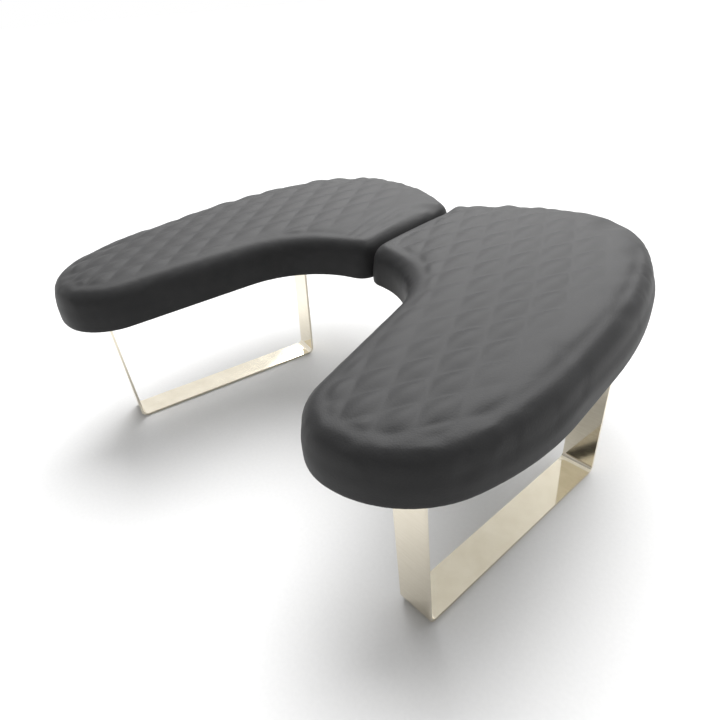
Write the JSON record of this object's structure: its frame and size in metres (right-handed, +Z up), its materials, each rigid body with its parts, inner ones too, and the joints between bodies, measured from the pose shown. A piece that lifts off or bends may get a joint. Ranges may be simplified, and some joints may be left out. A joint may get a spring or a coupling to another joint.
{
  "type": "quilted arm rest cushion",
  "caption": "Horseshoe-shaped padded arm rest with a quilted black leather top in two mirrored halves, each standing on a U-shaped polished flat-strip leg.",
  "frame": {"origin": "middle of the footprint at table height, on the seam between the two pads", "axes": "+X to the right pad, +Y away from the opening between the arms, +Z up"},
  "size_m": [0.5218, 0.439, 0.1865],
  "materials": {
    "cover_leather": "matte, fine grain",
    "foam": "open cell",
    "plywood": "raw",
    "dust_cloth": "non-woven",
    "polished_steel": "mirror polished",
    "zinc_steel": "zinc plated"
  },
  "bodies": {
    "root": {"left_cushion_cover": "cover_leather", "left_foam_pad": "foam", "left_base_board": "plywood", "left_dust_cover": "dust_cloth", "left_dust_cover_staples": "zinc_steel", "left_leg": "polished_steel", "left_leg_screws": "zinc_steel", "left_leg_washers": "zinc_steel", "left_tee_nuts": "zinc_steel", "right_cushion_cover": "cover_leather", "right_foam_pad": "foam", "right_base_board": "plywood", "right_dust_cover": "dust_cloth", "right_dust_cover_staples": "zinc_steel", "right_leg": "polished_steel", "right_leg_screws": "zinc_steel", "right_leg_washers": "zinc_steel", "right_tee_nuts": "zinc_steel", "front_seam_plate": "zinc_steel", "rear_seam_plate": "zinc_steel", "seam_plate_screws": "zinc_steel"}
  },
  "joints": []
}
